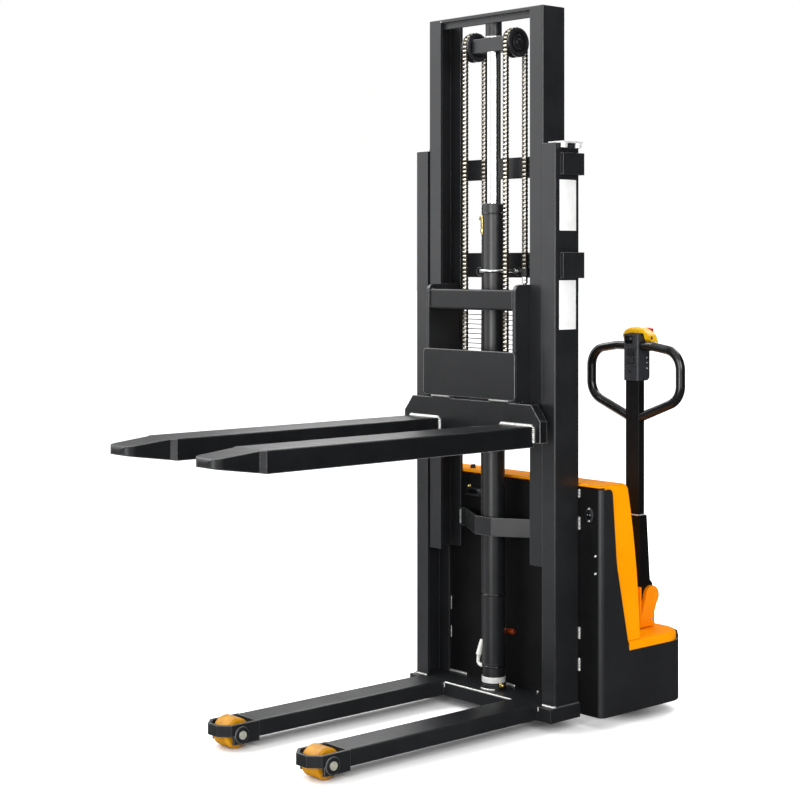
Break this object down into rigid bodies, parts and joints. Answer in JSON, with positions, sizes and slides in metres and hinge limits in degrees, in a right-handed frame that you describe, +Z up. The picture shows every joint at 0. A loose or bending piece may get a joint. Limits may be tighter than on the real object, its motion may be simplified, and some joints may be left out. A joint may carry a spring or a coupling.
{
  "type": "electric stacker",
  "caption": "Walk-behind electric pallet stacker with a nested channel mast raised by a centre cylinder and chains, trough forks over the support legs, a sheet body and an offset tiller.",
  "frame": {"origin": "on the floor, in the middle of the whole truck's box", "axes": "+Z up, +Y back towards the operator, +X to the operator's left; the forks point along -Y"},
  "size_m": [0.8675, 1.727, 2.178],
  "materials": {
    "black_paint": "semi-gloss paint",
    "orange_paint": "semi-gloss paint",
    "chain_steel": "oiled",
    "zinc_steel": "zinc plated",
    "bare_steel": "turned",
    "chrome_rod": "polished",
    "hose_rubber": "matt",
    "amber_polyurethane": "satin",
    "dark_polyurethane": "satin",
    "battery_case": "moulded",
    "pump_aluminium": "cast",
    "controller_aluminium": "anodised",
    "head_plastic": "moulded",
    "rocker_plastic": "moulded",
    "key_plastic": "moulded",
    "yellow_plastic": "moulded",
    "red_plastic": "moulded"
  },
  "bodies": {
    "chassis": {"base_frame": "black_paint", "left_leg": "black_paint", "right_leg": "black_paint", "load_axles": "zinc_steel", "left_outer_channel": "black_paint", "right_outer_channel": "black_paint", "upper_mast_tie": "black_paint", "lower_mast_tie": "black_paint", "guide_plates": "zinc_steel", "cylinder_tube": "black_paint", "cylinder_gland": "black_paint", "return_hose": "hose_rubber", "chain_anchors": "zinc_steel", "rear_chains": "chain_steel", "front_panel": "black_paint", "left_side_panel": "black_paint", "right_side_panel": "black_paint", "rear_panel": "black_paint", "chassis_deck": "black_paint", "hood": "orange_paint", "drive_cover": "orange_paint", "battery": "battery_case", "power_unit": "pump_aluminium", "controller": "controller_aluminium", "carriage_guard": "bare_steel"},
    "inner_mast": {"left_inner_channel": "black_paint", "right_inner_channel": "black_paint", "inner_top_bar": "black_paint", "inner_strap": "black_paint", "lift_rod": "chrome_rod", "crosshead": "bare_steel", "chain_wraps": "chain_steel"},
    "carriage": {"carriage_left_plate": "black_paint", "carriage_right_plate": "black_paint", "carriage_top_bar": "black_paint", "carriage_mid_plate": "black_paint", "fork_plate": "black_paint", "left_fork": "black_paint", "right_fork": "black_paint", "front_chains": "chain_steel"},
    "left_chain_wheel": {"left_chain_wheel": "bare_steel"},
    "right_chain_wheel": {"right_chain_wheel": "bare_steel"},
    "upper_carriage_rollers": {"upper_carriage_rollers": "bare_steel"},
    "lower_carriage_rollers": {"lower_carriage_rollers": "bare_steel"},
    "upper_mast_rollers": {"upper_mast_rollers": "bare_steel"},
    "lower_mast_rollers": {"lower_mast_rollers": "bare_steel"},
    "left_load_wheel": {"left_load_wheel": "amber_polyurethane"},
    "right_load_wheel": {"right_load_wheel": "amber_polyurethane"},
    "steering": {"steer_head": "orange_paint", "drive_unit": "black_paint"},
    "drive_wheel": {"drive_wheel": "dark_polyurethane"},
    "tiller": {"tiller_arm": "black_paint", "tiller_handle": "black_paint", "control_head": "head_plastic"},
    "butterfly": {"butterfly": "yellow_plastic"},
    "belly_button": {"belly_button": "red_plastic"},
    "lift_rocker": {"lift_rocker": "rocker_plastic"},
    "key": {"key": "key_plastic"},
    "caster_fork": {"caster_fork": "zinc_steel"},
    "caster_wheel": {"caster_wheel": "dark_polyurethane"}
  },
  "joints": [
    {"name": "mast_lift", "type": "slide", "parent": "chassis", "child": "inner_mast", "axis": [0, 0, 1], "range_m": [-0.408, 0.75], "deforming": ["rear_chains"]},
    {"name": "carriage_lift", "type": "slide", "parent": "inner_mast", "child": "carriage", "axis": [0, 0, 1], "range_m": [-0.408, 0.75], "deforming": ["front_chains"]},
    {"name": "left_chain_wheel_spin", "type": "hinge", "parent": "inner_mast", "child": "left_chain_wheel", "pos_m": [-0.03375, 0.397, 2.082], "axis": [1, 0, 0], "range_deg": [-1025.1, 558.6]},
    {"name": "right_chain_wheel_spin", "type": "hinge", "parent": "inner_mast", "child": "right_chain_wheel", "pos_m": [-0.03375, 0.397, 2.082], "axis": [1, 0, 0], "range_deg": [-1025.1, 558.6]},
    {"name": "upper_carriage_roller_spin", "type": "hinge", "parent": "carriage", "child": "upper_carriage_rollers", "pos_m": [-0.03375, 0.398, 1.272], "axis": [1, 0, 0], "range_deg": [-601.4, 1103.8]},
    {"name": "lower_carriage_roller_spin", "type": "hinge", "parent": "carriage", "child": "lower_carriage_rollers", "pos_m": [-0.03375, 0.398, 0.937], "axis": [1, 0, 0], "range_deg": [-1103.8, 601.4]},
    {"name": "upper_mast_roller_spin", "type": "hinge", "parent": "inner_mast", "child": "upper_mast_rollers", "pos_m": [-0.03375, 0.3965, 0.904], "axis": [1, 0, 0], "range_deg": [-552, 1013.1]},
    {"name": "lower_mast_roller_spin", "type": "hinge", "parent": "inner_mast", "child": "lower_mast_rollers", "pos_m": [-0.03375, 0.3965, 0.529], "axis": [1, 0, 0], "range_deg": [-1013.1, 552]},
    {"name": "left_load_wheel_spin", "type": "hinge", "parent": "chassis", "child": "left_load_wheel", "pos_m": [0.17125, -0.4735, 0.044], "axis": [1, 0, 0], "continuous": true},
    {"name": "right_load_wheel_spin", "type": "hinge", "parent": "chassis", "child": "right_load_wheel", "pos_m": [-0.23875, -0.4735, 0.044], "axis": [1, 0, 0], "continuous": true},
    {"name": "steer", "type": "hinge", "parent": "chassis", "child": "steering", "pos_m": [0.23625, 0.6935, 0.256], "axis": [0, 0, 1], "range_deg": [-75, 75]},
    {"name": "drive_wheel_spin", "type": "hinge", "parent": "steering", "child": "drive_wheel", "pos_m": [0.23625, 0.6935, 0.105], "axis": [1, 0, 0], "continuous": true},
    {"name": "tiller_tilt", "type": "hinge", "parent": "steering", "child": "tiller", "pos_m": [0.23625, 0.7895, 0.35], "axis": [-1, 0, 0], "range_deg": [0, 80], "stiffness_Nm_per_rad": 30, "springref_deg": -57.3},
    {"name": "butterfly_turn", "type": "hinge", "parent": "tiller", "child": "butterfly", "pos_m": [0.23625, 0.7675, 1.164], "axis": [1, 0, 0], "range_deg": [-20, 20], "stiffness_Nm_per_rad": 1.5},
    {"name": "belly_button_press", "type": "slide", "parent": "tiller", "child": "belly_button", "axis": [0, 0, -1], "range_m": [0, 0.008], "stiffness_N_per_m": 700, "springref_m": -0.002},
    {"name": "lift_rocker_tilt", "type": "hinge", "parent": "tiller", "child": "lift_rocker", "pos_m": [0.23625, 0.7305, 1.105], "axis": [1, 0, 0], "range_deg": [-8, 8], "stiffness_Nm_per_rad": 0.8},
    {"name": "key_turn", "type": "hinge", "parent": "chassis", "child": "key", "pos_m": [-0.23275, 0.4935, 0.732], "axis": [0, 0, 1], "range_deg": [-90, 0]},
    {"name": "caster_swivel", "type": "hinge", "parent": "chassis", "child": "caster_fork", "pos_m": [-0.30375, 0.6835, 0.242], "axis": [0, 0, 1], "continuous": true},
    {"name": "caster_spin", "type": "hinge", "parent": "caster_fork", "child": "caster_wheel", "pos_m": [-0.30375, 0.7235, 0.065], "axis": [1, 0, 0], "continuous": true}
  ],
  "couplings": [
    {"joint": "carriage_lift", "follows": "mast_lift", "ratio": 1},
    {"joint": "left_chain_wheel_spin", "follows": "mast_lift", "rad_per_m": -23.81},
    {"joint": "right_chain_wheel_spin", "follows": "mast_lift", "rad_per_m": -23.81},
    {"joint": "upper_carriage_roller_spin", "follows": "mast_lift", "rad_per_m": 25.641},
    {"joint": "lower_carriage_roller_spin", "follows": "mast_lift", "rad_per_m": -25.641},
    {"joint": "upper_mast_roller_spin", "follows": "mast_lift", "rad_per_m": 23.529},
    {"joint": "lower_mast_roller_spin", "follows": "mast_lift", "rad_per_m": -23.529}
  ]
}
